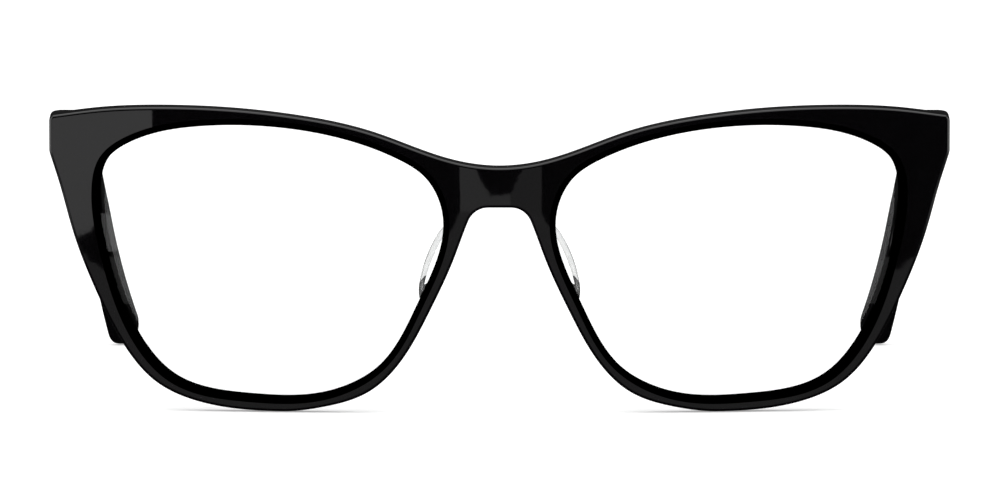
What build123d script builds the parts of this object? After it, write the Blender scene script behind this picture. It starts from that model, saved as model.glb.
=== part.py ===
"""Cat-eye eyeglasses: an acetate front with clear lenses and nose pads, and two folding temples on
five-barrel hinges. Millimetres. +X is the viewer's right, the front faces -Y, the temples run back
along +Y and +Z is up. The glasses stand on the rims' lower edges and on the temples' tips."""

from build123d import *

import os
from math import asin, atan2, cos, degrees, hypot, radians, sin, sqrt, tan

# Front
lens_width = 53.9  # box width of the lens opening
lens_height = 42.2
lens_gap = 17.8  # between the two lens boxes, across the bridge
rim_width = 2.42  # under the lens; elsewhere the rim is a multiple of it
end_width = 7.2  # from the lens box to the end of the front
end_rise = 0.75  # the end piece's top corner, above the lens box
end_notch = 4.83  # the lower corner of the end piece, under the top of the lens box
front_thickness = 4.0
face_radius = 260.0  # the front is bent round the face at this radius
front_tilt = 4.0  # degrees, top forward
bridge_rise = 8.7  # nose arch above the lens box's centre
bridge_height = 6.2
arch_half_width = 4.0
arch_corner = 3.3
end_corner = 0.8
kink_corner = 1.0
bevel_width = 1.0  # round the front of each lens opening
bevel_depth = 0.5
edge_radius = 0.35

# Lenses
lens_radius = 220.0
lens_thickness = 1.9
lens_edge = 0.9  # thickness of the tongue that sits in the rim's groove
groove_depth = 0.6
lens_setback = 1.5  # from the rim's face to the middle of the lens, at its centre
lens_clearance = 0.03

# Nose pads
pad_length = 13.6
pad_width = 3.2
pad_depth = 6.6  # from the back of the rim
pad_lean = 21.0  # degrees from upright, along the rim beside the nose
pad_splay = 1.0  # how far the back of the pad stands outward of its root
pad_drop = 0.6  # pad centre under the lens box's centre
pad_past_lens = 0.25  # pad's middle line, outward of the lens box's nose side
pad_sink = 0.5  # how far its middle reaches back over the rim when it is trimmed to fit

# Temples
temple_length = 145.0  # along the temple, from hinge to tip
tip_length = 55.0  # of the temple, behind the start of the ear bend
ear_bend_start = temple_length - tip_length
ear_bend_radius = 35.0
ear_bend_angle = 54.0
butt_height = 8.6
neck_height = 5.4  # where the ear bend starts
tip_height = 6.4
temple_thickness = 3.6
temple_setback = 1.0  # outer side, in from the end of the front
tip_curve_radius = 70.0  # in plan, behind the ear
tip_curve_length = 41.0  # of the temple, curved in plan
tip_curve_start = temple_length - tip_curve_length
butt_gap = 0.15
butt_overlap = 1.0  # the arm is drawn this much long, then cut upright to meet the front
temple_edge = 0.8
temple_drop = 4.3  # middle of the temple's front end, under the top corner of the front

# Steel core inside each temple
core_height = 2.4
core_thickness = 1.2
core_end_cover = 12.0  # acetate past the end of the core

# Hinges
end_block = 2.0  # added behind the front for the hinge
block_width = 7.7
block_drop = 1.2  # top of the block, under the top corner of the front
block_height = 8.4
barrel_radius = 1.25
barrel_height = 1.2
barrel_gap = 0.06
barrel_count = 5
barrel_clearance = 0.15
screw_radius = 0.65
screw_clearance = 0.05
head_radius = 1.05
head_height = 0.6
slot_width = 0.3
slot_depth = 0.3
leaf_thickness = 1.1
front_leaf_depth = 4.6
temple_leaf_length = 9.0
leaf_sink = 0.5  # how far the temple's leaf is sunk in the acetate
leaf_height = 5.6
neck_margin = 0.1  # between the barrels' channel and each leaf's plate
lug_drop = 0.5  # middle of the lug that meets the core, under the middle of the hinge

# Derived: the front's plane, with x to the right, y up the front and z forward
half_lens_width = lens_width / 2
half_lens_height = lens_height / 2
lens_x = lens_gap / 2 + half_lens_width
lens_up = rim_width + half_lens_height
half_width = lens_gap / 2 + lens_width + end_width
end_top = lens_up + half_lens_height + end_rise
front_up = Vector(0, -sin(radians(front_tilt)), cos(radians(front_tilt)))
front_back = Vector(0, cos(radians(front_tilt)), sin(radians(front_tilt)))
front_plane = Plane(origin=(0, 0, 0), x_dir=(1, 0, 0), z_dir=-front_back)
bend_plane = Plane(origin=(0, 0, 0), x_dir=(1, 0, 0), z_dir=front_up)
wrap = degrees(asin(lens_x / face_radius))


def face_sag(x):
    """How far the bent front lies behind its foremost line, at x."""
    return face_radius - sqrt(face_radius**2 - x**2)


def on_front(x, up, depth):
    """A point of the bent front: depth is measured back from its face."""
    return Vector(x, 0, 0) + front_up * up + front_back * (face_sag(x) + depth)


# Derived: hinge axis and temple slope
front_levels = [0, 2, 4]
temple_levels = [1, 3]
temple_out = half_width - temple_setback
temple_in = temple_out - temple_thickness
hinge_x = temple_in - barrel_radius - barrel_clearance
butt_y = on_front(temple_out, end_top, front_thickness).Y + end_block
hinge_y = butt_y + butt_gap / 2
hinge_z = on_front(half_width, end_top, 0).Z - temple_drop
hinge_height = barrel_count * barrel_height + (barrel_count - 1) * barrel_gap
rest_z = on_front(lens_x, 0, 0).Z
tip_run = temple_length - ear_bend_start - ear_bend_radius * radians(ear_bend_angle)
tip_reach = ear_bend_radius * tan(radians(ear_bend_angle) / 2) + tip_run
tip_radius = tip_height / 2
ball_s = ear_bend_start + tip_reach - tip_run + (tip_reach - tip_radius) * cos(radians(ear_bend_angle))
ball_h = -(tip_reach - tip_radius) * sin(radians(ear_bend_angle))
slope = asin((hinge_z - tip_radius - rest_z) / hypot(ball_s, ball_h)) - atan2(-ball_h, ball_s)
temple_back = Vector(0, cos(slope), -sin(slope))
temple_up = Vector(0, sin(slope), cos(slope))
butt_origin = Vector(0, butt_y + butt_gap, hinge_z)

# The lens opening, clockwise from the nose side, in shares of half the lens box
opening_points = [
    (-1.0, 0.37),
    (-0.898, 0.638),
    (-0.754, 0.761),
    (-0.464, 0.9),
    (-0.03, 0.993),
    (0.423, 0.985),
    (0.816, 0.856),
    (0.961, 0.706),
    (1.0, 0.502),
    (0.949, 0.023),
    (0.778, -0.565),
    (0.567, -0.865),
    (0.119, -0.998),
    (-0.319, -0.973),
    (-0.643, -0.754),
    (-0.858, -0.299),
]

# The front's outline: a place in shares of half the lens box, then the rim's reach beyond it
top_points = [
    (-1.036, 0.64, 0, 1.04),
    (-0.606, 0.832, 0, 1.04),
    (-0.172, 0.976, 0, 0.81),
    (0.262, 1.0, 0, 1.04),
    (0.619, 1.0, 0, 1.08),
    (0.982, 1.0, 0, 0.81),
]
side_points = [
    (1.0, 0.549, 2.36, 0),
    (0.968, 0.179, 1.81, 0),
    (0.88, -0.26, 1.3, 0),
    (0.778, -0.565, 0.785, -0.545),
    (0.567, -0.865, 0.95, -0.45),
    (0.4, -0.95, 0, -0.93),
]
nose_points = [
    (-0.317, -0.973, 0, -0.9),
    (-0.483, -0.911, -1.03, -0.44),
    (-0.643, -0.754, -1.32, 0.18),
    (-0.858, -0.299, -0.785, -0.52),
    (-0.955, 0.015, -1.2, 0),
    (-1.0, 0.256, -1.48, 0),
]
lowest_point = (-0.068, -1.0, 0, -1.0)


def rim_point(place):
    """An outline point from its place beside the lens and the rim's reach there."""
    across, up, reach_x, reach_up = place
    x = lens_x + across * half_lens_width + reach_x * rim_width
    return (x, lens_up + up * half_lens_height + reach_up * rim_width)


def lens_plane(side):
    """The plane that touches the rim's face at the lens centre; its z looks out of the lens."""
    turn = radians(wrap) * side
    across = Vector(1, 0, 0) * cos(turn) + front_back * sin(turn)
    outward = Vector(1, 0, 0) * sin(turn) - front_back * cos(turn)
    return Plane(origin=on_front(side * lens_x, lens_up, 0), x_dir=across, z_dir=outward)


def opening_face(side, grow):
    """The lens outline in its own plane, with its half width and half height grown by an amount."""
    reach_x = side * (half_lens_width + grow)
    reach_y = half_lens_height + grow
    with BuildSketch(mode=Mode.PRIVATE) as opening:
        with BuildLine():
            Spline(*[(x * reach_x, y * reach_y) for x, y in opening_points], periodic=True)
        make_face()
    return opening.sketch


def dome(side, depth, thickness):
    """A spherical sheet across the lens, whose front is at a depth behind the rim's face."""
    plane = lens_plane(side)
    centre = plane.origin - plane.z_dir * (depth + lens_radius)
    with BuildPart(mode=Mode.PRIVATE) as sheet:
        with Locations(centre):
            Sphere(lens_radius)
            Sphere(lens_radius - thickness, mode=Mode.SUBTRACT)
    return sheet.part


def lens_prism(side, grow):
    """The lens outline drawn out through the whole rim."""
    outline_face = opening_face(side, grow)
    reach = 3 * front_thickness
    with BuildPart(mode=Mode.PRIVATE) as prism:
        with BuildSketch(lens_plane(side)):
            add(outline_face)
        extrude(amount=reach, both=True)
    return prism.part


def arm_profile(front_half, neck_half, tip_half, end_cover):
    """The temple's side view: back along x, up along y, with the ear bend and a round tip."""
    angle = radians(ear_bend_angle)
    bend_centre = Vector(ear_bend_start, -ear_bend_radius)
    along = Vector(cos(angle), -sin(angle))
    across = Vector(sin(angle), cos(angle))
    ball = bend_centre + across * ear_bend_radius + along * (tip_run - end_cover - tip_half)
    with BuildSketch(mode=Mode.PRIVATE) as profile:
        with BuildLine():
            upper = CenterArc(bend_centre, ear_bend_radius + neck_half, 90, -ear_bend_angle)
            lower = CenterArc(bend_centre, ear_bend_radius - neck_half, 90, -ear_bend_angle)
            Polyline(upper @ 0, (-butt_overlap, front_half), (-butt_overlap, -front_half), lower @ 0)
            Line(upper @ 1, ball + across * tip_half)
            ThreePointArc(ball + across * tip_half, ball + along * tip_half, ball - across * tip_half)
            Line(ball - across * tip_half, lower @ 1)
        make_face()
    return profile.sketch


def arm_plan(side, thickness, start):
    """The temple from above: straight, then curving in behind the ear."""
    middle = (temple_in + temple_out) / 2
    sweep_angle = degrees((temple_length - tip_curve_start) / tip_curve_radius)
    centre = (side * (middle - tip_curve_radius), tip_curve_start)
    outer = tip_curve_radius + thickness / 2
    inner = tip_curve_radius - thickness / 2
    first = 0 if side > 0 else 180
    with BuildSketch(mode=Mode.PRIVATE) as plan:
        with BuildLine():
            far = CenterArc(centre, outer, first, side * sweep_angle)
            near = CenterArc(centre, inner, first, side * sweep_angle)
            Line(far @ 1, near @ 1)
            butt_near = (side * (middle - thickness / 2), start)
            butt_far = (side * (middle + thickness / 2), start)
            Polyline(near @ 0, butt_near, butt_far, far @ 0)
        make_face()
    return plan.sketch


def arm(side, thickness, start, profile):
    """A bent arm: the side view drawn across, cut to the plan."""
    side_plane = Plane(origin=butt_origin, x_dir=temple_back, z_dir=(1, 0, 0))
    plan_plane = Plane(origin=butt_origin, x_dir=(1, 0, 0), z_dir=temple_up)
    plan = arm_plan(side, thickness, start)
    with BuildPart(mode=Mode.PRIVATE) as solid:
        with BuildSketch(side_plane):
            add(profile)
        extrude(amount=2 * half_width, both=True)
        with BuildSketch(plan_plane):
            add(plan)
        extrude(amount=temple_length, both=True, mode=Mode.INTERSECT)
    return solid.part


def barrels(side, levels):
    """Hinge barrels at the given levels, counted from the lowest."""
    pitch = barrel_height + barrel_gap
    lowest = hinge_z - hinge_height / 2 + barrel_height / 2
    with BuildPart(mode=Mode.PRIVATE) as stack:
        for level in levels:
            with Locations((side * hinge_x, hinge_y, lowest + level * pitch)):
                Cylinder(barrel_radius, barrel_height)
    return stack.part


def level_blocks(side, levels, near_x, far_x, near_y, far_y):
    """One block at the height of each given barrel, between two distances from the hinge axis."""
    pitch = barrel_height + barrel_gap
    lowest = hinge_z - hinge_height / 2 + barrel_height / 2
    middle = (side * (hinge_x + (near_x + far_x) / 2), hinge_y + (near_y + far_y) / 2)
    with BuildPart(mode=Mode.PRIVATE) as blocks:
        for level in levels:
            with Locations((*middle, lowest + level * pitch)):
                Box(abs(far_x - near_x), abs(far_y - near_y), barrel_height)
    return blocks.part


def axis_rod(side, radius, low, high):
    """A rod on the hinge axis, between two heights."""
    with BuildPart(mode=Mode.PRIVATE) as rod:
        with Locations((side * hinge_x, hinge_y, (low + high) / 2)):
            Cylinder(radius, high - low)
    return rod.part


neck_reach = barrel_radius + barrel_clearance + neck_margin
leaf_out = temple_in - hinge_x + leaf_sink


def front_leaf(side):
    """The plate that holds the front barrels in the end piece, with a neck to each of them."""
    plate_y = hinge_y - neck_reach - front_leaf_depth / 2
    necks = level_blocks(side, front_levels, -leaf_thickness / 2, leaf_thickness / 2, 0, -neck_reach)
    with BuildPart(mode=Mode.PRIVATE) as leaf:
        with Locations((side * hinge_x, plate_y, hinge_z)):
            Box(leaf_thickness, front_leaf_depth, hinge_height)
        add(necks)
    return leaf.part


def temple_leaf(side):
    """The plate on the temple's inner side, with the lug that meets the core."""
    plate_x = hinge_x + leaf_out - leaf_thickness / 2
    plate_y = hinge_y + (neck_reach + temple_leaf_length) / 2
    lug_in = hinge_x + leaf_out
    lug_out = temple_in + (temple_thickness + core_thickness) / 2
    lug_back = (butt_origin + temple_back * temple_leaf_length).Y
    lug_y = lug_back - core_height / 2
    with BuildPart(mode=Mode.PRIVATE) as leaf:
        with Locations((side * plate_x, plate_y, hinge_z)):
            Box(leaf_thickness, temple_leaf_length - neck_reach, leaf_height)
        with Locations((side * (lug_in + lug_out) / 2, lug_y, hinge_z - lug_drop)):
            Box(lug_out - lug_in, core_height, core_height)
    return leaf.part


def end_piece(side):
    """The block behind the end of the front, inside its outline and grown from its middle depth."""
    block_x = half_width - block_width / 2
    front_y = on_front(half_width - block_width, end_top, 0).Y
    top_z = on_front(half_width, end_top, 0).Z
    with BuildPart(mode=Mode.PRIVATE) as block:
        with BuildSketch(front_plane):
            add(outline.sketch)
        extrude(amount=-front_thickness - 2 * face_sag(half_width))
        with Locations((side * block_x, (front_y + butt_y) / 2, top_z - block_drop - block_height / 2)):
            Box(block_width, butt_y - front_y, block_height, mode=Mode.INTERSECT)
        with BuildSketch(bend_plane.offset(-lens_height)):
            with Locations((0, face_radius)):
                Circle(face_radius - front_thickness / 2)
        extrude(amount=3 * lens_height, mode=Mode.INTERSECT)
    return block.part


def lens_sheet(side, grow, thickness, clearance):
    """The thin tongue round the lens, or with a clearance the groove that it sits in."""
    blank = lens_prism(side, grow + clearance)
    curve = dome(side, lens_setback - thickness / 2 - clearance, thickness + 2 * clearance)
    with BuildPart(mode=Mode.PRIVATE) as sheet:
        add(blank)
        add(curve, mode=Mode.INTERSECT)
    return sheet.part


def pad_body(side):
    """A nose pad: four ellipses lofted back from the rim, leaning outward as they go."""
    lean = radians(pad_lean)
    root_x = lens_gap / 2 + pad_past_lens
    levels = [
        (-pad_sink, 0, 0.95),
        (0.45 * pad_depth, 0.4, 1.0),
        (0.85 * pad_depth, 0.9, 0.85),
        (pad_depth, 1.0, 0.5),
    ]
    with BuildPart(mode=Mode.PRIVATE) as pad:
        for depth, share, size in levels:
            origin = on_front(side * (root_x + share * pad_splay), lens_up - pad_drop, front_thickness + depth)
            along = Vector(side * sin(lean), 0, 0) * -1 + front_up * cos(lean)
            with BuildSketch(Plane(origin=origin, x_dir=along, z_dir=front_back)):
                Ellipse(size * pad_length / 2, size * pad_width / 2)
        loft()
    return pad.part


hinge_low = hinge_z - hinge_height / 2
hinge_high = hinge_z + hinge_height / 2
core_half = core_height / 2
core_profile = arm_profile(core_half, core_half, core_half, core_end_cover)
temple_profile = arm_profile(butt_height / 2, neck_height / 2, tip_height / 2, 0)
pieces = {}

# Front
with BuildSketch(mode=Mode.PRIVATE) as outline:
    with BuildLine():
        arch = lens_up + bridge_rise
        top = Spline(
            (0, arch + bridge_height),
            *[rim_point(place) for place in top_points],
            (half_width, end_top),
            tangents=[(1, 0), (1, -0.16)],
        )
        end_low = lens_up + half_lens_height - end_notch
        Line(top @ 1, (half_width, end_low))
        Spline(
            (half_width, end_low),
            *[rim_point(place) for place in side_points],
            rim_point(lowest_point),
            tangents=[(-0.3, -1), (-1, 0)],
        )
        nose_side = Spline(
            rim_point(lowest_point),
            *[rim_point(place) for place in nose_points],
            tangents=[(-1, 0), (-0.38, 1)],
        )
        Polyline(nose_side @ 1, (arch_half_width, arch), (0, arch))
        mirror(about=Plane.YZ)
    make_face()
    for turn in (1, -1):
        corner = outline.vertices().sort_by_distance((turn * half_width, end_top))[0]
        fillet(corner, end_corner)
        corner = outline.vertices().sort_by_distance((turn * half_width, end_low))[0]
        fillet(corner, kink_corner)
        corner = outline.vertices().sort_by_distance((turn * arch_half_width, arch))[0]
        fillet(corner, arch_corner)

openings = [lens_prism(side, 0) for side in (-1, 1)]
grooves = [lens_sheet(side, groove_depth, lens_edge, lens_clearance) for side in (-1, 1)]
end_pieces = [end_piece(side) for side in (-1, 1)]
front_leaves = [front_leaf(side) for side in (-1, 1)]
channel_radius = barrel_radius + barrel_clearance
channels = [axis_rod(side, channel_radius, hinge_low - barrel_clearance, 2 * end_top) for side in (-1, 1)]

with BuildPart() as front_frame:
    with BuildSketch(front_plane):
        add(outline.sketch)
    extrude(amount=-front_thickness - 2 * face_sag(half_width))
    with BuildSketch(bend_plane.offset(-lens_height)):
        with Locations((0, face_radius)):
            Circle(face_radius)
            Circle(face_radius - front_thickness, mode=Mode.SUBTRACT)
    extrude(amount=3 * lens_height, mode=Mode.INTERSECT)
    add(openings, mode=Mode.SUBTRACT)
    sheets = front_frame.faces().filter_by(GeomType.CYLINDER).sort_by(SortBy.AREA)[-2:]
    face = sheets.sort_by(Axis.Y)[0]
    back = sheets.sort_by(Axis.Y)[-1]
    fillet(back.outer_wire().edges() + face.outer_wire().edges(), edge_radius)
    sheets = front_frame.faces().filter_by(GeomType.CYLINDER).sort_by(SortBy.AREA)[-2:]
    face = sheets.sort_by(Axis.Y)[0]
    opening_edges = [edge for wire in face.inner_wires() for edge in wire.edges()]
    chamfer(opening_edges, bevel_width, bevel_depth, reference=face)
    add(end_pieces)
    add(channels, mode=Mode.SUBTRACT)
    add(front_leaves, mode=Mode.SUBTRACT)
    add(grooves, mode=Mode.SUBTRACT)
pieces["front_frame"] = front_frame.part

for side, hand in ((-1, "left"), (1, "right")):
    screw_hole = axis_rod(side, screw_radius + screw_clearance, hinge_low - 1, hinge_high + 1)

    lens_blank = lens_prism(side, -lens_clearance)
    lens_curve = dome(side, lens_setback - lens_thickness / 2, lens_thickness)
    lens_tongue = lens_sheet(side, groove_depth, lens_edge, 0)
    with BuildPart() as lens:
        add(lens_blank)
        add(lens_curve, mode=Mode.INTERSECT)
        add(lens_tongue)
    pieces[f"lens_{hand}"] = lens.part

    pad = pad_body(side)
    with BuildPart() as nose_pad:
        add(pad)
        add(front_frame.part, mode=Mode.SUBTRACT)
    pieces[f"nose_pad_{hand}"] = nose_pad.part

    front_barrels = barrels(side, front_levels)
    front_plate = front_leaf(side)
    with BuildPart() as front_hinge:
        add([front_barrels, front_plate])
        add(screw_hole, mode=Mode.SUBTRACT)
    pieces[f"front_hinge_{hand}"] = front_hinge.part

    temple_barrels = barrels(side, temple_levels)
    temple_necks = level_blocks(side, temple_levels, 0, leaf_out, 0, neck_reach + leaf_thickness)
    temple_plate = temple_leaf(side)
    with BuildPart() as temple_hinge:
        add([temple_barrels, temple_necks, temple_plate])
        add(screw_hole, mode=Mode.SUBTRACT)
    pieces[f"temple_hinge_{hand}"] = temple_hinge.part

    core_bar = arm(side, core_thickness, temple_leaf_length, core_profile)
    with BuildPart() as temple_core:
        add(core_bar)
        add(temple_hinge.part, mode=Mode.SUBTRACT)
    pieces[f"temple_core_{hand}"] = temple_core.part

    temple_bar = arm(side, temple_thickness, -butt_overlap, temple_profile)
    with BuildPart() as temple:
        add(temple_bar)
        split(bisect_by=Plane(origin=butt_origin, z_dir=(0, 1, 0)), keep=Keep.TOP)
        outer_edges = temple.edges().filter_by(lambda edge: edge.center().Y > butt_origin.Y + 1)
        fillet(outer_edges, temple_edge)
        add([temple_core.part, temple_hinge.part], mode=Mode.SUBTRACT)
    pieces[f"temple_{hand}"] = temple.part

    shank = axis_rod(side, screw_radius, hinge_low, hinge_high)
    head = axis_rod(side, head_radius, hinge_high, hinge_high + head_height)
    with BuildPart() as hinge_screw:
        add([shank, head])
        with Locations((side * hinge_x, hinge_y, hinge_high + head_height - slot_depth / 2)):
            Box(3 * head_radius, slot_width, slot_depth, mode=Mode.SUBTRACT)
    pieces[f"hinge_screw_{hand}"] = hinge_screw.part

# The frame's origin is under the middle of the whole object, on the surface that it stands on
boxes = [solid.bounding_box() for solid in pieces.values()]
middle_y = (min(box.min.Y for box in boxes) + max(box.max.Y for box in boxes)) / 2
lowest_z = min(box.min.Z for box in boxes)
os.makedirs("parts", exist_ok=True)
for name, solid in pieces.items():
    placed = solid.moved(Location((0, -middle_y, -lowest_z)))
    placed.label = name
    export_step(placed, f"parts/{name}.step")
print("hinge axis", hinge_x, hinge_y - middle_y, hinge_z - lowest_z)
print("slope", degrees(slope), "butt", butt_y - middle_y)
print("moved", -middle_y, -lowest_z, "wrap", wrap)
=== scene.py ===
"""Cat-eye acetate eyeglasses: materials, detail meshes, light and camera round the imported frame."""

from math import asin, atan2, cos, pi, radians, sin, sqrt, tan

import bmesh
import bpy
import numpy as np
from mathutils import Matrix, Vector
from mathutils.geometry import delaunay_2d_cdt


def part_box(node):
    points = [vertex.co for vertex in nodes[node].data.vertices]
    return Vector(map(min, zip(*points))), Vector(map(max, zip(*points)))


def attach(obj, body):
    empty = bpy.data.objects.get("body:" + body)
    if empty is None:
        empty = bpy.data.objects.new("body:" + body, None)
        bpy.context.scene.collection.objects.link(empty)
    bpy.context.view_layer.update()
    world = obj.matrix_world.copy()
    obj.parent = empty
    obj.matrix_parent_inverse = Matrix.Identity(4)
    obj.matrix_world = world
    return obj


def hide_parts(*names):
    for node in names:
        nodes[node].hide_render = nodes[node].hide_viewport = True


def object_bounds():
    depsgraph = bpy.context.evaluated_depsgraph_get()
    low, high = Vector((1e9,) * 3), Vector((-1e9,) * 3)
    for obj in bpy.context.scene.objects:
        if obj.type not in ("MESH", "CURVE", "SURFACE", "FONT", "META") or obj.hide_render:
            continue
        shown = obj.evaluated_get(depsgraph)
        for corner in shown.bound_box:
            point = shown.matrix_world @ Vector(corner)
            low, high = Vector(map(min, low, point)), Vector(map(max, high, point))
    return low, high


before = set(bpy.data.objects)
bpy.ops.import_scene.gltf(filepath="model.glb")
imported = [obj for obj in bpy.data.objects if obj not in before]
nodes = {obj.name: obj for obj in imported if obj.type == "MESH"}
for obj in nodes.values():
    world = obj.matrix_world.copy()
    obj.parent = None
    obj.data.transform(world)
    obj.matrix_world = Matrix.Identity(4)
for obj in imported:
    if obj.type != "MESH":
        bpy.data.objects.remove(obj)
cad_low, cad_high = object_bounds()
scene = bpy.context.scene
scene.view_settings.view_transform = "Standard"
scene.view_settings.look = "None"

MM = 0.001
FACE_R = 260.0  # millimetres, the radius that the front is bent to
WRAP_RADIUS = FACE_R * MM
FRONT_TILT = radians(4.0)


def linked(name, data):
    """A new object in the scene."""
    obj = bpy.data.objects.new(name, data)
    scene.collection.objects.link(obj)
    return obj


def smooth(mesh):
    """Shades every face smoothly."""
    mesh.polygons.foreach_set("use_smooth", [True] * len(mesh.polygons))


# Camera: two metres away, a little above the front
VIEW_DISTANCE = 2.0
VIEW_ELEVATION = 4.0
PICTURE_WIDTH = 0.15556
PICTURE_HEIGHT_AT = 0.0248
PICTURE_X_AT = 0.00008
AIM_BEHIND_FACE = 0.010
SENSOR_WIDTH = 36

front_low, front_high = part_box("front_frame")
aim = Vector((PICTURE_X_AT, front_low[1] + AIM_BEHIND_FACE, PICTURE_HEIGHT_AT))
back_off = Vector((0, -cos(radians(VIEW_ELEVATION)), sin(radians(VIEW_ELEVATION))))
camera_data = bpy.data.cameras.new("camera")
camera = linked("camera", camera_data)
scene.camera = camera
camera_data.sensor_width = SENSOR_WIDTH
camera_data.lens = SENSOR_WIDTH * VIEW_DISTANCE / PICTURE_WIDTH
camera_data.clip_start = 0.05
camera_data.clip_end = 20
camera.location = aim + back_off * VIEW_DISTANCE
camera.rotation_mode = "QUATERNION"
camera.rotation_quaternion = (-back_off).to_track_quat("-Z", "Y")


# Materials
def new_material(name):
    """A material with its node tree, which holds a Principled shader and an output."""
    material = bpy.data.materials.new(name)
    material.use_nodes = True
    tree = material.node_tree
    return material, tree, tree.nodes["Principled BSDF"]


def noise_bump(tree, shader, scale, strength, distance):
    """A faint bump from three-dimensional noise."""
    place = tree.nodes.new("ShaderNodeTexCoord")
    noise = tree.nodes.new("ShaderNodeTexNoise")
    noise.inputs["Scale"].default_value = scale
    noise.inputs["Detail"].default_value = 2.0
    bump = tree.nodes.new("ShaderNodeBump")
    bump.inputs["Strength"].default_value = strength
    bump.inputs["Distance"].default_value = distance
    tree.links.new(place.outputs["Object"], noise.inputs["Vector"])
    tree.links.new(noise.outputs["Fac"], bump.inputs["Height"])
    tree.links.new(bump.outputs["Normal"], shader.inputs["Normal"])
    return place, noise


def ramp_between(tree, source, low, high, target):
    """Maps a 0 to 1 value onto a range and feeds a shader socket with it."""
    spread = tree.nodes.new("ShaderNodeMapRange")
    spread.inputs["To Min"].default_value = low
    spread.inputs["To Max"].default_value = high
    tree.links.new(source, spread.inputs["Value"])
    tree.links.new(spread.outputs["Result"], target)


def colour_between(tree, source, low, high, target):
    """Mixes two colours by a 0 to 1 value and feeds a shader socket with them."""
    mix = tree.nodes.new("ShaderNodeMix")
    mix.data_type = "RGBA"
    mix.inputs["A"].default_value = (*low, 1)
    mix.inputs["B"].default_value = (*high, 1)
    tree.links.new(source, mix.inputs["Factor"])
    tree.links.new(mix.outputs["Result"], target)


def acetate():
    """Black acetate, tumbled to a high polish: a faint ripple and hair-fine polishing marks."""
    material, tree, shader = new_material("black_acetate")
    shader.inputs["IOR"].default_value = 1.49
    place, noise = noise_bump(tree, shader, 260, 0.04, 0.00006)
    colour_between(tree, noise.outputs["Fac"], (0.0009, 0.0008, 0.0010), (0.0018, 0.0016, 0.0020),
                   shader.inputs["Base Color"])
    marks = tree.nodes.new("ShaderNodeTexNoise")
    marks.inputs["Scale"].default_value = 3800
    marks.inputs["Detail"].default_value = 3
    tree.links.new(place.outputs["Object"], marks.inputs["Vector"])
    ramp_between(tree, marks.outputs["Fac"], 0.006, 0.03, shader.inputs["Roughness"])
    return material


def clear_plastic(name, tint, ior, rough):
    """A clear plastic that bends light, with a trace of ripple."""
    material, tree, shader = new_material(name)
    shader.inputs["Transmission Weight"].default_value = 1.0
    shader.inputs["IOR"].default_value = ior
    noise = noise_bump(tree, shader, 120, 0.02, 0.00002)[1]
    shader.inputs["Roughness"].default_value = rough
    colour_between(tree, noise.outputs["Fac"], tint, tuple(min(1, c + 0.01) for c in tint),
                   shader.inputs["Base Color"])
    return material


def metal(name, colour, rough_low, rough_high, stretch):
    """Bright metal with fine marks, longer one way than the other."""
    material, tree, shader = new_material(name)
    shader.inputs["Metallic"].default_value = 1.0
    place = tree.nodes.new("ShaderNodeTexCoord")
    turn = tree.nodes.new("ShaderNodeMapping")
    turn.inputs["Scale"].default_value = stretch
    marks = tree.nodes.new("ShaderNodeTexNoise")
    marks.inputs["Scale"].default_value = 1400
    marks.inputs["Detail"].default_value = 4
    bump = tree.nodes.new("ShaderNodeBump")
    bump.inputs["Strength"].default_value = 0.15
    bump.inputs["Distance"].default_value = 0.00002
    tree.links.new(place.outputs["Object"], turn.inputs["Vector"])
    tree.links.new(turn.outputs["Vector"], marks.inputs["Vector"])
    tree.links.new(marks.outputs["Fac"], bump.inputs["Height"])
    tree.links.new(bump.outputs["Normal"], shader.inputs["Normal"])
    ramp_between(tree, marks.outputs["Fac"], rough_low, rough_high, shader.inputs["Roughness"])
    darker = tuple(0.86 * c for c in colour)
    colour_between(tree, marks.outputs["Fac"], darker, colour, shader.inputs["Base Color"])
    return material


black = acetate()
lens_glass = clear_plastic("clear_lens", (0.985, 0.99, 0.99), 1.5, 0.0)
crystal = clear_plastic("clear_acetate", (0.97, 0.975, 0.97), 1.49, 0.02)
steel = metal("core_steel", (0.62, 0.62, 0.63), 0.2, 0.38, (1, 0.05, 1))
nickel = metal("hinge_metal", (0.76, 0.75, 0.72), 0.16, 0.3, (1, 1, 0.2))
screw = metal("screw_steel", (0.68, 0.68, 0.7), 0.14, 0.28, (1, 1, 4))
by_prefix = {
    "front_frame": black,
    "temple_left": black,
    "temple_right": black,
    "lens": lens_glass,
    "nose_pad": crystal,
    "temple_core": steel,
    "front_hinge": nickel,
    "temple_hinge": nickel,
    "hinge_screw": screw,
}
for name, obj in nodes.items():
    material = next(m for prefix, m in by_prefix.items() if name.startswith(prefix))
    for slot in obj.material_slots:
        slot.material = material

# The front's flat outline, in millimetres: u across, v up the front, w back from its polished face
LENS_WIDTH, LENS_HEIGHT, LENS_GAP = 53.9, 42.2, 17.8
RIM = 2.42
END_WIDTH, END_RISE, END_NOTCH = 7.2, 0.75, 4.83
THICK = 4.0
BRIDGE_RISE, BRIDGE_HEIGHT, ARCH_HALF = 8.7, 6.2, 4.0
BEVEL, BEVEL_DEEP = 1.0, 0.5
EDGE = 0.45  # rounding of the outer edge
TOP_CORNER, NOTCH_CORNER, ARCH_CORNER = 0.8, 1.0, 3.3  # corner radii of the outline
OUTLINE_GAP, LENS_LOOP_GAP, FILL_GAP, FILL_CLEAR = 0.42, 0.38, 1.2, 0.22  # spacing of the mesh's points
FRONT_ORIGIN = Vector((0, -0.06995688, -0.00017323))
HALF_W, HALF_H = LENS_WIDTH / 2, LENS_HEIGHT / 2
LENS_U = LENS_GAP / 2 + HALF_W
LENS_V = RIM + HALF_H
END_U = LENS_GAP / 2 + LENS_WIDTH + END_WIDTH
END_V = LENS_V + HALF_H + END_RISE
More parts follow.
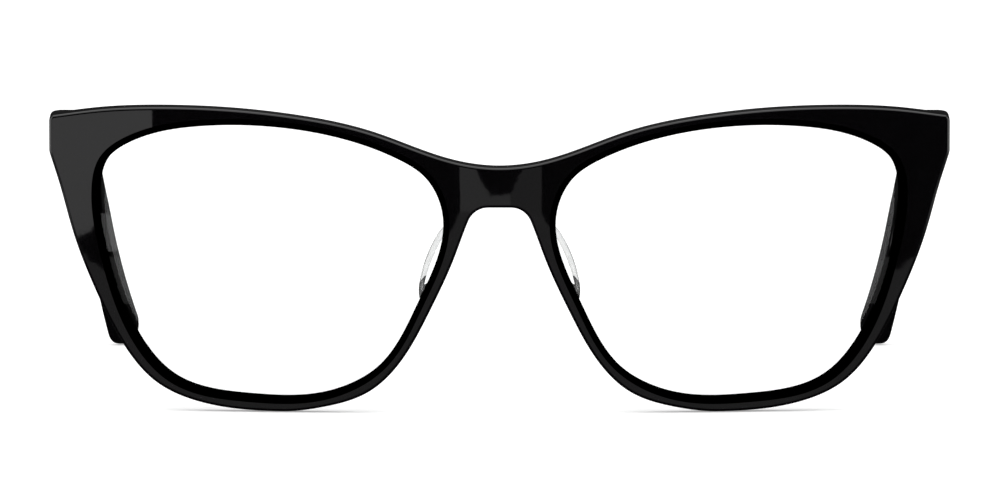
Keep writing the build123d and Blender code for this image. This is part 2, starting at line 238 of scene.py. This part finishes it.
UP = Vector((0, -sin(FRONT_TILT), cos(FRONT_TILT)))
BACK = Vector((0, cos(FRONT_TILT), sin(FRONT_TILT)))
TURN = asin(LENS_U / FACE_R)

# Shares of the lens box's half width and half height, from its centre
OPENING = [
    (-1.0, 0.37), (-0.898, 0.638), (-0.754, 0.761), (-0.464, 0.9),
    (-0.03, 0.993), (0.423, 0.985), (0.816, 0.856), (0.961, 0.706),
    (1.0, 0.502), (0.949, 0.023), (0.778, -0.565), (0.567, -0.865),
    (0.119, -0.998), (-0.319, -0.973), (-0.643, -0.754), (-0.858, -0.299),
]
# The same, then the reach past that place in rim widths, across and up
TOP = [
    (-1.036, 0.64, 0, 1.04), (-0.606, 0.832, 0, 1.04), (-0.172, 0.976, 0, 0.81),
    (0.262, 1.0, 0, 1.04), (0.619, 1.0, 0, 1.08), (0.982, 1.0, 0, 0.81),
]
SIDE = [
    (1.0, 0.549, 2.36, 0), (0.968, 0.179, 1.81, 0), (0.88, -0.26, 1.3, 0),
    (0.778, -0.565, 0.785, -0.545), (0.567, -0.865, 0.95, -0.45), (0.4, -0.95, 0, -0.93),
]
NOSE = [
    (-0.317, -0.973, 0, -0.9), (-0.483, -0.911, -1.03, -0.44), (-0.643, -0.754, -1.32, 0.18),
    (-0.858, -0.299, -0.785, -0.52), (-0.955, 0.015, -1.2, 0), (-1.0, 0.256, -1.48, 0),
]
LOWEST = (-0.068, -1.0, 0, -1.0)


def rim_point(place):
    """An outline point from its place beside the lens and the rim's reach there."""
    across, up, reach_u, reach_v = place
    return (LENS_U + across * HALF_W + reach_u * RIM, LENS_V + up * HALF_H + reach_v * RIM)


def spline(points, start=None, end=None, closed=False, steps=24):
    """A smooth curve through points, with end directions where they are given."""
    p = np.array(points, float)
    if closed:
        p = np.vstack([p, p[:1]])
    chord = np.linalg.norm(np.diff(p, axis=0), axis=1)
    n = len(p)
    a = np.zeros((n, n))
    r = np.zeros((n, 2))
    for i in range(1, n - 1):
        a[i, i - 1], a[i, i], a[i, i + 1] = chord[i], 2 * (chord[i - 1] + chord[i]), chord[i - 1]
        r[i] = 3 * (chord[i] / chord[i - 1] * (p[i] - p[i - 1])
                    + chord[i - 1] / chord[i] * (p[i + 1] - p[i]))
    if closed:
        a[0, 0], a[0, -1] = 1, -1
        before, after = chord[-1], chord[0]
        a[-1, 0], a[-1, 1], a[-1, -2] = 2 * (before + after), before, after
        r[-1] = 3 * (after / before * (p[-1] - p[-2]) + before / after * (p[1] - p[0]))
    else:
        for row, way in ((0, start), (-1, end)):
            a[row, row] = 1
            r[row] = np.array(way, float) / np.linalg.norm(way)
    slope = np.linalg.solve(a, r)
    out = []
    for i in range(n - 1):
        t = np.linspace(0, 1, steps, endpoint=False)[:, None]
        h = chord[i]
        out.append((2 * t**3 - 3 * t**2 + 1) * p[i] + (t**3 - 2 * t**2 + t) * h * slope[i]
                   + (3 * t**2 - 2 * t**3) * p[i + 1] + (t**3 - t**2) * h * slope[i + 1])
    out = np.vstack(out)
    return out if closed else np.vstack([out, p[-1:]])


def even(points, gap, closed=False):
    """The same line with its points about one gap apart."""
    p = np.vstack([points, points[:1]]) if closed else np.asarray(points)
    run = np.concatenate([[0], np.cumsum(np.linalg.norm(np.diff(p, axis=0), axis=1))])
    count = max(3, int(round(run[-1] / gap)))
    at = np.linspace(0, run[-1], count + 1)
    line = np.column_stack([np.interp(at, run, p[:, k]) for k in (0, 1)])
    return line[:-1] if closed else line


def rounded_join(first, second, radius):
    """Two lines that meet at a corner, with an arc-like turn between them."""
    way_in = first[-1] - first[-2]
    way_out = second[1] - second[0]
    way_in, way_out = way_in / np.linalg.norm(way_in), way_out / np.linalg.norm(way_out)
    angle = np.arccos(np.clip(way_in @ way_out, -1, 1))
    cut = radius * tan(angle / 2)

    def trim(line):
        """The line without its last stretch, up to the corner."""
        run = np.concatenate([[0], np.cumsum(np.linalg.norm(np.diff(line, axis=0), axis=1))])
        left = run[-1] - cut
        keep = line[run < left - 1e-6]
        last = np.array([[np.interp(left, run, line[:, k]) for k in (0, 1)]])
        return np.vstack([keep, last])

    first, second = trim(first), trim(second[::-1])[::-1]
    t = np.linspace(0, 1, 14)[1:-1, None]
    reach = 4 / 3 * tan(angle / 4) * radius
    in_way = first[-1] - first[-2]
    out_way = second[1] - second[0]
    b = first[-1] + reach * in_way / np.linalg.norm(in_way)
    c = second[0] - reach * out_way / np.linalg.norm(out_way)
    turn = (1 - t)**3 * first[-1] + 3 * (1 - t)**2 * t * b + 3 * (1 - t) * t**2 * c + t**3 * second[0]
    return first, turn, second


arch = LENS_V + BRIDGE_RISE
end_low = LENS_V + HALF_H - END_NOTCH
top = spline([(0, arch + BRIDGE_HEIGHT)] + [rim_point(q) for q in TOP] + [(END_U, END_V)],
             (1, 0), (1, -0.16))
end_line = np.array([(END_U, END_V - 0.01 * k * (END_V - end_low)) for k in range(101)])
side_line = spline([(END_U, end_low)] + [rim_point(q) for q in SIDE] + [rim_point(LOWEST)],
                   (-0.3, -1), (-1, 0))
nose_line = spline([rim_point(LOWEST)] + [rim_point(q) for q in NOSE], (-1, 0), (-0.38, 1))
to_arch = np.linspace(nose_line[-1], (ARCH_HALF, arch), 30)
nose_line = np.vstack([nose_line, to_arch[1:]])
arch_line = np.linspace((ARCH_HALF, arch), (0, arch), 40)
top, corner_a, end_line = rounded_join(top, end_line, TOP_CORNER)
end_line, corner_b, side_line = rounded_join(end_line, side_line, NOTCH_CORNER)
nose_line, corner_c, arch_line = rounded_join(nose_line, arch_line, ARCH_CORNER)
right_half = np.vstack([top, corner_a, end_line[1:], corner_b, side_line[:-1],
                        nose_line, corner_c, arch_line])
left_half = (right_half * (-1, 1))[::-1]
outline = even(np.vstack([right_half, left_half[1:-1]]), OUTLINE_GAP, closed=True)


def outward(loop):
    """Unit directions out of a closed loop, whichever way round it runs."""
    along = np.roll(loop, -1, axis=0) - np.roll(loop, 1, axis=0)
    along /= np.linalg.norm(along, axis=1)[:, None]
    out = np.column_stack([-along[:, 1], along[:, 0]])
    after = np.roll(loop, -1, axis=0)
    area = np.sum(loop[:, 0] * after[:, 1] - loop[:, 1] * after[:, 0])
    return -out if area > 0 else out


def bend(u, w):
    """How far back the bent front lies at u, for a depth w under its face."""
    return FACE_R - np.sqrt((FACE_R - w)**2 - u**2)


def lens_loop(side):
    """The lens outline, as the distances across and up the lens's own plane."""
    curve = spline([(x * HALF_W, y * HALF_H) for x, y in OPENING], closed=True)
    return even(curve, LENS_LOOP_GAP, closed=True) * (side, 1)


def on_opening(side, loop, w):
    """Points of the front at depth w, straight through from an outline in the lens's own plane."""
    run = loop[:, 0] * side
    u = LENS_U + run * cos(TURN)
    for _ in range(6):
        deep = bend(u, w) - bend(LENS_U, 0)
        t = (deep - run * sin(TURN)) / cos(TURN)
        u = LENS_U + run * cos(TURN) - t * sin(TURN)
    return np.column_stack([side * u, LENS_V + loop[:, 1]])


def place_front(u, v, w):
    """Flat front to model space."""
    deep = bend(u, w)
    x = u
    y = v * UP.y + deep * BACK.y
    z = v * UP.z + deep * BACK.z
    return np.column_stack([x, y, z]) * MM + np.array(FRONT_ORIGIN)


def turn_front(u, w, normal):
    """Flat directions to model space, following the bend. The third part points out of the face."""
    s = u / (FACE_R - w)
    c = np.sqrt(1 - s**2)
    across = np.column_stack([c, s * BACK.y, s * BACK.z])
    out = np.column_stack([s, -c * BACK.y, -c * BACK.z])
    up = np.array(UP)[None, :]
    return normal[:, :1] * across + normal[:, 1:2] * up + normal[:, 2:] * out


class Shell:
    """A mesh under construction with a normal for each point."""

    def __init__(self):
        self.points, self.normals, self.faces, self.count = [], [], [], 0

    def add(self, points, normals):
        self.points.append(points)
        self.normals.append(normals)
        first = self.count
        self.count += len(points)
        return first

    def strip(self, a, b, n, flip=False):
        """Quads between two closed rings of n points."""
        for i in range(n):
            j = (i + 1) % n
            quad = (a + i, a + j, b + j, b + i)
            self.faces.append(quad[::-1] if flip else quad)

    def build(self, name, material):
        mesh = bpy.data.meshes.new(name)
        points = np.vstack(self.points)
        normals = np.vstack(self.normals)
        normals /= np.linalg.norm(normals, axis=1)[:, None]
        mesh.from_pydata(points.tolist(), [], self.faces)
        mesh.update()
        smooth(mesh)
        mesh.normals_split_custom_set_from_vertices(normals.tolist())
        mesh.materials.append(material)
        return linked(name, mesh)


def inside(points, loop):
    """Which points lie inside a closed loop."""
    x, y = points[:, 0][:, None], points[:, 1][:, None]
    x0, y0 = loop[:, 0][None, :], loop[:, 1][None, :]
    x1, y1 = np.roll(loop[:, 0], -1)[None, :], np.roll(loop[:, 1], -1)[None, :]
    crosses = (y0 > y) != (y1 > y)
    with np.errstate(divide="ignore", invalid="ignore"):
        at = x0 + (y - y0) * (x1 - x0) / (y1 - y0)
    return (np.sum(crosses & (x < at), axis=1) % 2) == 1


def sheet_between(shell, outer, holes, w, sign):
    """Fills between an outer ring and its holes; sign 1 faces forward, -1 back."""
    low, high = outer.min(axis=0), outer.max(axis=0)
    columns, rows = (np.arange(low[k], high[k], FILL_GAP) for k in (0, 1))
    grid = np.stack(np.meshgrid(columns, rows), -1).reshape(-1, 2)
    keep = inside(grid, outer)
    for hole in holes:
        keep &= ~inside(grid, hole)
    grid = grid[keep]
    rings = [outer] + holes
    clear = np.full(len(grid), 1e9)
    for ring in rings:
        for start in range(0, len(grid), 2000):
            part = grid[start:start + 2000]
            gaps = np.linalg.norm(part[:, None, :] - ring[None, :, :], axis=2).min(axis=1)
            clear[start:start + 2000] = np.minimum(clear[start:start + 2000], gaps)
    grid = grid[clear > FILL_CLEAR]
    points = np.vstack(rings + [grid])
    edges, base = [], 0
    for ring in rings:
        n = len(ring)
        edges += [(base + i, base + (i + 1) % n) for i in range(n)]
        base += n
    made = delaunay_2d_cdt([Vector(q) for q in points], edges, [], 0, 1e-7)
    verts, faces = np.array([tuple(q) for q in made[0]]), made[2]
    centres = np.array([verts[list(f)].mean(axis=0) for f in faces])
    keep = inside(centres, outer)
    for hole in holes:
        keep &= ~inside(centres, hole)
    u, v = verts[:, 0], verts[:, 1]
    flat = np.zeros((len(verts), 3))
    flat[:, 2] = sign
    deep = np.full(len(verts), float(w))
    first = shell.add(place_front(u, v, deep), turn_front(u, deep, flat))
    for face, good in zip(faces, keep):
        if good:
            ids = tuple(first + k for k in face)
            shell.faces.append(ids if sign > 0 else ids[::-1])


def ring_points(loop, normals2, reach, w, lean):
    """One ring beside a loop, at depth w, with its normals.

    The ring is moved along the loop's own directions by reach.
    A lean of 0 faces forward, and pi / 2 faces the side.
    """
    moved = loop + normals2 * reach
    flat = np.column_stack([normals2 * sin(lean), np.full(len(loop), cos(lean))])
    u, v = moved[:, 0], moved[:, 1]
    deep = np.full(len(loop), float(w))
    return place_front(u, v, deep), turn_front(u, deep, flat)


# The opening's section, from the face to the back: reach into the rim, depth, and lean of the normal
BEVEL_SLOPE = atan2(BEVEL_DEEP, BEVEL)
OPENING_SECTION = [
    (BEVEL + 0.05, 0.0, 0.0),
    (BEVEL - 0.02, 0.012, BEVEL_SLOPE / 2),
    (BEVEL - 0.08, 0.045, BEVEL_SLOPE),
    (0.20, BEVEL_DEEP - 0.105, BEVEL_SLOPE),
    (0.09, BEVEL_DEEP - 0.03, BEVEL_SLOPE + 0.35),
    (0.02, BEVEL_DEEP + 0.06, BEVEL_SLOPE + 0.75),
    (0.0, BEVEL_DEEP + 0.16, pi / 2),
    (0.0, THICK - 0.2, pi / 2),
    (0.05, THICK - 0.06, pi * 0.7),
    (0.2, THICK, pi),
]
EDGE_STEPS = 6


def build_front():
    """The acetate front: face, back, rounded outer edge, polished bevels and the walls of the openings."""
    shell = Shell()
    out2 = outward(outline)
    arcs = [k * pi / 2 / EDGE_STEPS for k in range(EDGE_STEPS + 1)]
    rings = [(-EDGE * (1 - sin(lean)), EDGE * (1 - cos(lean)), lean) for lean in arcs]
    rings += [(-EDGE * (1 - cos(lean)), THICK - EDGE * (1 - sin(lean)), pi / 2 + lean) for lean in arcs]
    firsts = [shell.add(*ring_points(outline, out2, reach, w, lean)) for reach, w, lean in rings]
    for a, b in zip(firsts, firsts[1:]):
        shell.strip(a, b, len(outline))
    face_ring = outline + out2 * -EDGE
    face_holes, back_holes = [], []
    for side in (-1, 1):
        loop = lens_loop(side)
        firsts = []
        for reach, w, lean in OPENING_SECTION:
            base = on_opening(side, loop, w)
            out2 = outward(base)
            firsts.append(shell.add(*ring_points(base, -out2, -reach, w, lean)))
            if w == 0.0:
                face_holes.append(base + out2 * reach)
            if w == THICK:
                back_holes.append(base + out2 * reach)
        for a, b in zip(firsts, firsts[1:]):
            shell.strip(a, b, len(loop), flip=side < 0)
    sheet_between(shell, face_ring, face_holes, 0.0, 1)
    sheet_between(shell, face_ring, back_holes, THICK, -1)
    return shell.build("front_acetate", black)


front = build_front()


def solid_from(name, rings, material=None):
    """A closed mesh skinned over rings of the same number of points, with a flat cap on each end."""
    n = len(rings[0])
    faces = [tuple(range(n))[::-1], tuple(range((len(rings) - 1) * n, len(rings) * n))]
    for k in range(len(rings) - 1):
        for i in range(n):
            j = (i + 1) % n
            faces.append((k * n + i, k * n + j, (k + 1) * n + j, (k + 1) * n + i))
    mesh = bpy.data.meshes.new(name)
    mesh.from_pydata([tuple(p) for ring in rings for p in ring], [], faces)
    work = bmesh.new()
    work.from_mesh(mesh)
    bmesh.ops.recalc_face_normals(work, faces=work.faces)
    work.to_mesh(mesh)
    work.free()
    if material:
        mesh.materials.append(material)
    return linked(name, mesh)


def circle(x, y, z, radius, count=48):
    """A level ring of points."""
    turns = [2 * pi * k / count for k in range(count)]
    return [(x + radius * cos(turn), y + radius * sin(turn), z) for turn in turns]


def block(x0, x1, y0, y1, z0, z1):
    """The rings of a plain box, as a cutting tool."""
    ring = [(x0, y0), (x1, y0), (x1, y1), (x0, y1)]
    return [[(x, y, z0) for x, y in ring], [(x, y, z1) for x, y in ring]]


def carve(obj, tools, bevel):
    """Applies boolean cuts, then a small bevel on the sharp edges."""
    for kind, rings in tools:
        cutter = solid_from("cutter", rings)
        cut = obj.modifiers.new("cut", "BOOLEAN")
        cut.operation, cut.solver, cut.object = kind, "EXACT", cutter
        bpy.context.view_layer.update()
        evaluated = obj.evaluated_get(bpy.context.evaluated_depsgraph_get())
        mesh = bpy.data.meshes.new_from_object(evaluated)
        obj.modifiers.clear()
        old, obj.data = obj.data, mesh
        bpy.data.meshes.remove(old)
        bpy.data.objects.remove(cutter)
    soft = obj.modifiers.new("edges", "BEVEL")
    soft.width, soft.segments = bevel, 3
    soft.limit_method, soft.angle_limit = "ANGLE", radians(30)
    soft.harden_normals = True
    smooth(obj.data)


HINGE_X = 0.064
screw_low, screw_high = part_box("hinge_screw_left")
HINGE_Y = (screw_low[1] + screw_high[1]) / 2
BLOCK_WIDTH, BLOCK_HEIGHT, BLOCK_DROP = 7.7, 8.4, 1.2
BLOCK_DEPTH = 3.5  # where the block starts inside the front
BLOCK_ABOVE = 30  # the outline's end lies above this height
BLOCK_EDGE = 0.25 * MM
CHANNEL = 1.4 * MM
CHANNEL_CLEAR = 0.15 * MM
FAR = 0.08  # past the front on every side
CHANNEL_TOP = 0.06  # above the front
butt_y = front_high[1]
block_top = front_high[2] - BLOCK_DROP * MM
block_low = block_top - BLOCK_HEIGHT * MM
leaf_low, leaf_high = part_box("front_hinge_left")


HANDS = ((-1, "left"), (1, "right"))


def build_end_block(side, hand):
    """The thicker end of the front, with the round channel that the hinge's barrels turn in."""
    part = outline[(outline[:, 0] > END_U - BLOCK_WIDTH) & (outline[:, 1] > BLOCK_ABOVE)]
    inner = END_U - BLOCK_WIDTH
    part = part[np.argsort(-part[:, 1])]
    low = part[-1]
    loop = np.vstack([[(inner, part[0][1])], part, [(inner, low[1])]]) * (side, 1)
    near = place_front(loop[:, 0], loop[:, 1], np.full(len(loop), BLOCK_DEPTH))
    far = near.copy()
    reach = (butt_y - near[:, 1]) / cos(FRONT_TILT)
    far += reach[:, None] * np.array(BACK)[None, :]
    obj = solid_from(f"end_block_{hand}", [near, far], black)
    x = side * HINGE_X
    carve(obj, [
        ("INTERSECT", block(-FAR, FAR, -FAR, butt_y, block_low, block_top)),
        ("DIFFERENCE", [circle(x, HINGE_Y, leaf_low[2] - CHANNEL_CLEAR, CHANNEL),
                        circle(x, HINGE_Y, CHANNEL_TOP, CHANNEL)]),
    ], BLOCK_EDGE)
    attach(obj, "front")


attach(front, "front")
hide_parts("front_frame")
for side, hand in HANDS:
    build_end_block(side, hand)

# Temples, in millimetres along their own slope
SLOPE = radians(3.84473)
ARM_LENGTH = 145.0
BEND_START, BEND_RADIUS, BEND_ANGLE = 90.0, 35.0, radians(54)
BUTT_HALF, NECK_HALF, TIP_HALF = 4.3, 2.7, 3.2
ARM_OUT, ARM_THICK = END_U - 1.0, 3.6
HOOK_START, HOOK_RADIUS = 104.0, 70.0  # the curve in plan, behind the ear
UPRIGHT_RUN = 6  # over which the sections turn from upright at the hinge to square with the arm
CAP_SHARE = 0.9  # the flat end, beside the first section
# Near the hinge: place along, and how far the section stands in
BUTT_SECTIONS = ((0.0, 0.42), (0.04, 0.22), (0.16, 0.07), (0.42, 0.0))
SHAFT_FROM = 1.2
SECTION_POWER = 4.6
SECTION_COUNT = 72
arm_origin = np.array([0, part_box("temple_left")[0][1], (leaf_low[2] + leaf_high[2]) / 2])
arm_back = np.array([0, cos(SLOPE), -sin(SLOPE)])
arm_up = np.array([0, sin(SLOPE), cos(SLOPE)])


def arm_stations():
    """The temple's sections: place along, place up, lean of the section, half height, half thickness."""
    rows = []
    half = ARM_THICK / 2
    for s, inset in BUTT_SECTIONS:
        rows.append((s, 0, 0, BUTT_HALF - inset, half - inset))
    for s in np.linspace(SHAFT_FROM, BEND_START, 60):
        rows.append((s, 0, 0, BUTT_HALF + (NECK_HALF - BUTT_HALF) * s / BEND_START, half))
    for angle in np.linspace(0, BEND_ANGLE, 34)[1:]:
        s = BEND_START + BEND_RADIUS * sin(angle)
        rows.append((s, BEND_RADIUS * (cos(angle) - 1), angle, NECK_HALF, half))
    run = ARM_LENGTH - BEND_START - BEND_RADIUS * BEND_ANGLE - TIP_HALF
    end_s, end_h = rows[-1][0], rows[-1][1]
    for step in np.linspace(0, run, 22)[1:]:
        grow = NECK_HALF + (TIP_HALF - NECK_HALF) * step / run
        rows.append((end_s + step * cos(BEND_ANGLE), end_h - step * sin(BEND_ANGLE), BEND_ANGLE,
                     grow, half))
    tip_s, tip_h = rows[-1][0], rows[-1][1]
    for turn in np.linspace(0, pi / 2, 16)[1:-1]:
        out = TIP_HALF * sin(turn)
        rows.append((tip_s + out * cos(BEND_ANGLE), tip_h - out * sin(BEND_ANGLE), BEND_ANGLE,
                     TIP_HALF * cos(turn), half * (0.3 + 0.7 * cos(turn)**0.6)))
    return rows


def build_temple(side, hand):
    """A polished acetate temple with crowned faces, soft edges and a rounded tip."""
    turns = [2 * pi * k / SECTION_COUNT for k in range(SECTION_COUNT)]
    bow = 2 / SECTION_POWER
    across = np.array([np.sign(cos(t)) * abs(cos(t))**bow for t in turns])
    upward = np.array([np.sign(sin(t)) * abs(sin(t))**bow for t in turns])
    middle = ARM_OUT - ARM_THICK / 2
    rings = []
    for s, h, lean, half_h, half_t in arm_stations():
        up_s, up_h = sin(lean) * upward * half_h, cos(lean) * upward * half_h
        along = s + up_s - up_h * tan(SLOPE) * max(0, 1 - s / UPRIGHT_RUN)
        past = np.maximum(0, along - HOOK_START)
        inward = HOOK_RADIUS - np.sqrt(HOOK_RADIUS**2 - past**2)
        x = side * (middle - inward + across * half_t)
        rings.append(arm_origin + MM * (x[:, None] * np.array([1, 0, 0]) + along[:, None] * arm_back
                                        + (h + up_h)[:, None] * arm_up))
    flat_cap = rings[0].mean(axis=0) + (rings[0] - rings[0].mean(axis=0)) * CAP_SHARE
    obj = solid_from(f"temple_arm_{hand}", [flat_cap] + rings, black)
    smooth(obj.data)
    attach(obj, f"{hand}_arm")
    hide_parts(f"temple_{hand}")


for side, hand in HANDS:
    build_temple(side, hand)

# Lenses: meniscus sheets that reach a little way into their rims
LENS_R, LENS_THICK, LENS_SETBACK, LENS_SEAT = 220.0, 1.9, 1.5, 0.45
LENS_RINGS = 16
LENS_MIDDLE = 0.02  # size of the innermost ring, as a share of the outline


def build_lens(side, hand):
    """A clear plano lens: two parallel domes, closed by an edge that the rim's wall hides."""
    turn = TURN * side
    across = np.array([cos(turn), sin(turn) * BACK.y, sin(turn) * BACK.z])
    outward_way = np.array([sin(turn), -cos(turn) * BACK.y, -cos(turn) * BACK.z])
    centre = place_front(np.array([side * LENS_U]), np.array([LENS_V]), np.array([0.0]))[0]
    loop = lens_loop(side)[::2]
    loop = loop * ((HALF_W + LENS_SEAT) / HALF_W, (HALF_H + LENS_SEAT) / HALF_H)

    def sheet(depth):
        """Rings of one dome, from near its middle to its edge."""
        rings = []
        for share in [LENS_MIDDLE] + [k / LENS_RINGS for k in range(1, LENS_RINGS + 1)]:
            flat = loop * share
            sag = LENS_R - np.sqrt(LENS_R**2 - (flat**2).sum(axis=1))
            rings.append(centre + MM * (flat[:, :1] * across + flat[:, 1:] * np.array(UP)
                                        - (depth + sag)[:, None] * outward_way))
        return rings

    near, far = sheet(LENS_SETBACK - LENS_THICK / 2), sheet(LENS_SETBACK + LENS_THICK / 2)
    obj = solid_from(f"lens_sheet_{hand}", near + far[::-1], lens_glass)
    smooth(obj.data)
    edge_keep = obj.data.attributes.new("sharp_edge", "BOOLEAN", "EDGE")
    rim_low, rim_high = (len(near) - 1) * len(loop), (len(near) + 1) * len(loop)
    for edge in obj.data.edges:
        a, b = edge.vertices
        same = a // len(loop) == b // len(loop)
        if same and rim_low <= a < rim_high:
            edge_keep.data[edge.index].value = True
    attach(obj, "front")
    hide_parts(f"lens_{hand}")


for side, hand in HANDS:
    build_lens(side, hand)

# Stage
FLOOR_HALF = 4.0
FLOOR_GAP = 0.1 * MM
floor_mesh = bpy.data.meshes.new("floor")
floor_corners = [(x * FLOOR_HALF, y * FLOOR_HALF, 0) for x, y in ((-1, -1), (1, -1), (1, 1), (-1, 1))]
floor_mesh.from_pydata(floor_corners, [], [(0, 1, 2, 3)])
floor = linked("floor", floor_mesh)
floor.location = (0, 0, cad_low[2] - FLOOR_GAP)
floor_material, _, floor_shader = new_material("floor")
floor_shader.inputs["Base Color"].default_value = (0.9, 0.9, 0.9, 1)
floor_shader.inputs["Roughness"].default_value = 0.9
floor_shader.inputs["Specular IOR Level"].default_value = 0.0
floor_shader.inputs["Emission Color"].default_value = (1, 1, 1, 1)
floor_shader.inputs["Emission Strength"].default_value = 0.30
floor_mesh.materials.append(floor_material)
floor.visible_glossy = False


def emitter(name, corners, strength):
    """A flat card that only shows in reflections."""
    mesh = bpy.data.meshes.new(name)
    mesh.from_pydata(corners, [], [tuple(range(len(corners)))])
    card = linked(name, mesh)
    material, _, shader = new_material(name)
    shader.inputs["Base Color"].default_value = (0, 0, 0, 1)
    shader.inputs["Emission Color"].default_value = (1, 1, 1, 1)
    shader.inputs["Emission Strength"].default_value = strength
    shader.inputs["Specular IOR Level"].default_value = 0.0
    mesh.materials.append(material)
    card.visible_camera = False
    card.visible_diffuse = False
    card.visible_transmission = False
    card.visible_shadow = False


def mirrored(x, z, card_y):
    """The point of the plane y = card_y that shows in the front's polished face at x and z."""
    turn = asin(x / WRAP_RADIUS)
    normal = Vector((sin(turn), -cos(turn) * cos(FRONT_TILT), -cos(turn) * sin(FRONT_TILT)))
    sag = WRAP_RADIUS - sqrt(WRAP_RADIUS**2 - x**2)
    point = Vector((x, front_low[1] + (front_high[2] - z) * tan(FRONT_TILT) + sag, z))
    ray = (point - camera.location).normalized()
    ray = ray - 2 * ray.dot(normal) * normal
    return point + ray * ((card_y - point.y) / ray.y)


CARD_DISTANCE = 0.5
card_y = front_low[1] - CARD_DISTANCE

# Each card: its strength, and where it shows in the face at rest, x and z in millimetres
PATCHES = {
    "card_left": (0.95, [
        (-53.8, 54), (-53.8, 43.5), (-58.5, 36.5), (-62.0, 29.5), (-64.0, 27.6), (-67, 26.8),
        (-80, 26), (-84, 58), (-66, 58),
    ]),
    "card_low": (0.30, [
        (-84, 25), (-68, 25.4), (-64.8, 24.6), (-61, 21.5), (-52, 20), (-30, 20), (-14, 24.4),
        (-9.8, 25.2), (-7.8, 28.0), (-6.1, 31.4), (-3, 31.4), (0, 31.4), (3, 31.4), (6.5, 31.4),
        (8.2, 28.0), (10.2, 25.2), (14, 24.4), (30, 20), (52, 20), (61, 21.5), (64.8, 24.6),
        (68, 25.4), (84, 25), (84, -12), (40, -12), (0, -12), (-40, -12), (-84, -12),
    ]),
    "card_bridge": (0.5, [
        (-6.1, 31.4), (-6.1, 44), (-5.2, 44), (-3.6, 38.2), (-2.8, 36.2), (-1.4, 34.3), (0, 34.1),
        (1.6, 34.3), (1.8, 31.4),
    ]),
    "card_bridge_right": (0.27, [
        (1.8, 31.4), (1.6, 34.3), (2.6, 36.0), (3.7, 38.2), (5.0, 44), (6.5, 44), (6.5, 31.4),
    ]),
}
for name, (strength, patch) in PATCHES.items():
    emitter(name, [mirrored(x * MM, z * MM, card_y) for x, z in patch], strength)

# World: white to the eye, and to glossy rays a dark studio with soft light above, behind and at the sides
WHITE_STRENGTH = 1.12
DARK_STRENGTH = 0.003
world = bpy.data.worlds.new("studio")
scene.world = world
world.use_nodes = True
tree = world.node_tree
tree.nodes.clear()
out = tree.nodes.new("ShaderNodeOutputWorld")
place = tree.nodes.new("ShaderNodeTexCoord")
split = tree.nodes.new("ShaderNodeSeparateXYZ")
tree.links.new(place.outputs["Generated"], split.inputs["Vector"])


def band(source, low, high, value_low, value_high):
    """A smooth step of a direction's part, from one strength to another."""
    step = tree.nodes.new("ShaderNodeMapRange")
    step.interpolation_type = "SMOOTHSTEP"
    step.inputs["From Min"].default_value = low
    step.inputs["From Max"].default_value = high
    step.inputs["To Min"].default_value = value_low
    step.inputs["To Max"].default_value = value_high
    tree.links.new(source, step.inputs["Value"])
    return step.outputs["Result"]


def maths(operation, a, b):
    """One arithmetic step of the world's pattern."""
    node = tree.nodes.new("ShaderNodeMath")
    node.operation = operation
    for socket, value in zip(node.inputs, (a, b)):
        if isinstance(value, (int, float)):
            socket.default_value = value
        else:
            tree.links.new(value, socket)
    return node.outputs[0]


above = band(split.outputs["Z"], 0.60, 0.74, 0.0, 1.7)
behind = band(split.outputs["Y"], 0.3, 0.95, 0.0, 0.12)
low_back = band(split.outputs["Z"], 0.10, 0.45, 0.12, 1.0)
behind = maths("MULTIPLY", behind, low_back)
sideways = maths("ABSOLUTE", split.outputs["X"], 0)
beside = band(sideways, 0.74, 0.84, 0.0, 1.5)
beside = maths("MULTIPLY", beside, band(split.outputs["Z"], -0.34, -0.22, 0.0, 1.0))
pattern = maths("MAXIMUM", above, maths("MAXIMUM", behind, beside))
pattern = maths("ADD", pattern, DARK_STRENGTH)
light_path = tree.nodes.new("ShaderNodeLightPath")
lit = tree.nodes.new("ShaderNodeBackground")
lit.inputs["Strength"].default_value = WHITE_STRENGTH
lit.inputs["Color"].default_value = (1, 1, 1, 1)
gloss = tree.nodes.new("ShaderNodeBackground")
gloss.inputs["Color"].default_value = (1, 1, 1, 1)
tree.links.new(pattern, gloss.inputs["Strength"])
mix = tree.nodes.new("ShaderNodeMixShader")
tree.links.new(light_path.outputs["Is Glossy Ray"], mix.inputs["Fac"])
tree.links.new(lit.outputs[0], mix.inputs[1])
tree.links.new(gloss.outputs[0], mix.inputs[2])
tree.links.new(mix.outputs[0], out.inputs["Surface"])

KEY_AT = Vector((-0.9, -0.7, 1.9))
key_data = bpy.data.lights.new("key", "AREA")
key_data.energy = 6
key_data.size = 1.4
key = linked("key", key_data)
key.location = KEY_AT
key.rotation_mode = "QUATERNION"
key.rotation_quaternion = KEY_AT.to_track_quat("Z", "Y")
key.visible_glossy = False
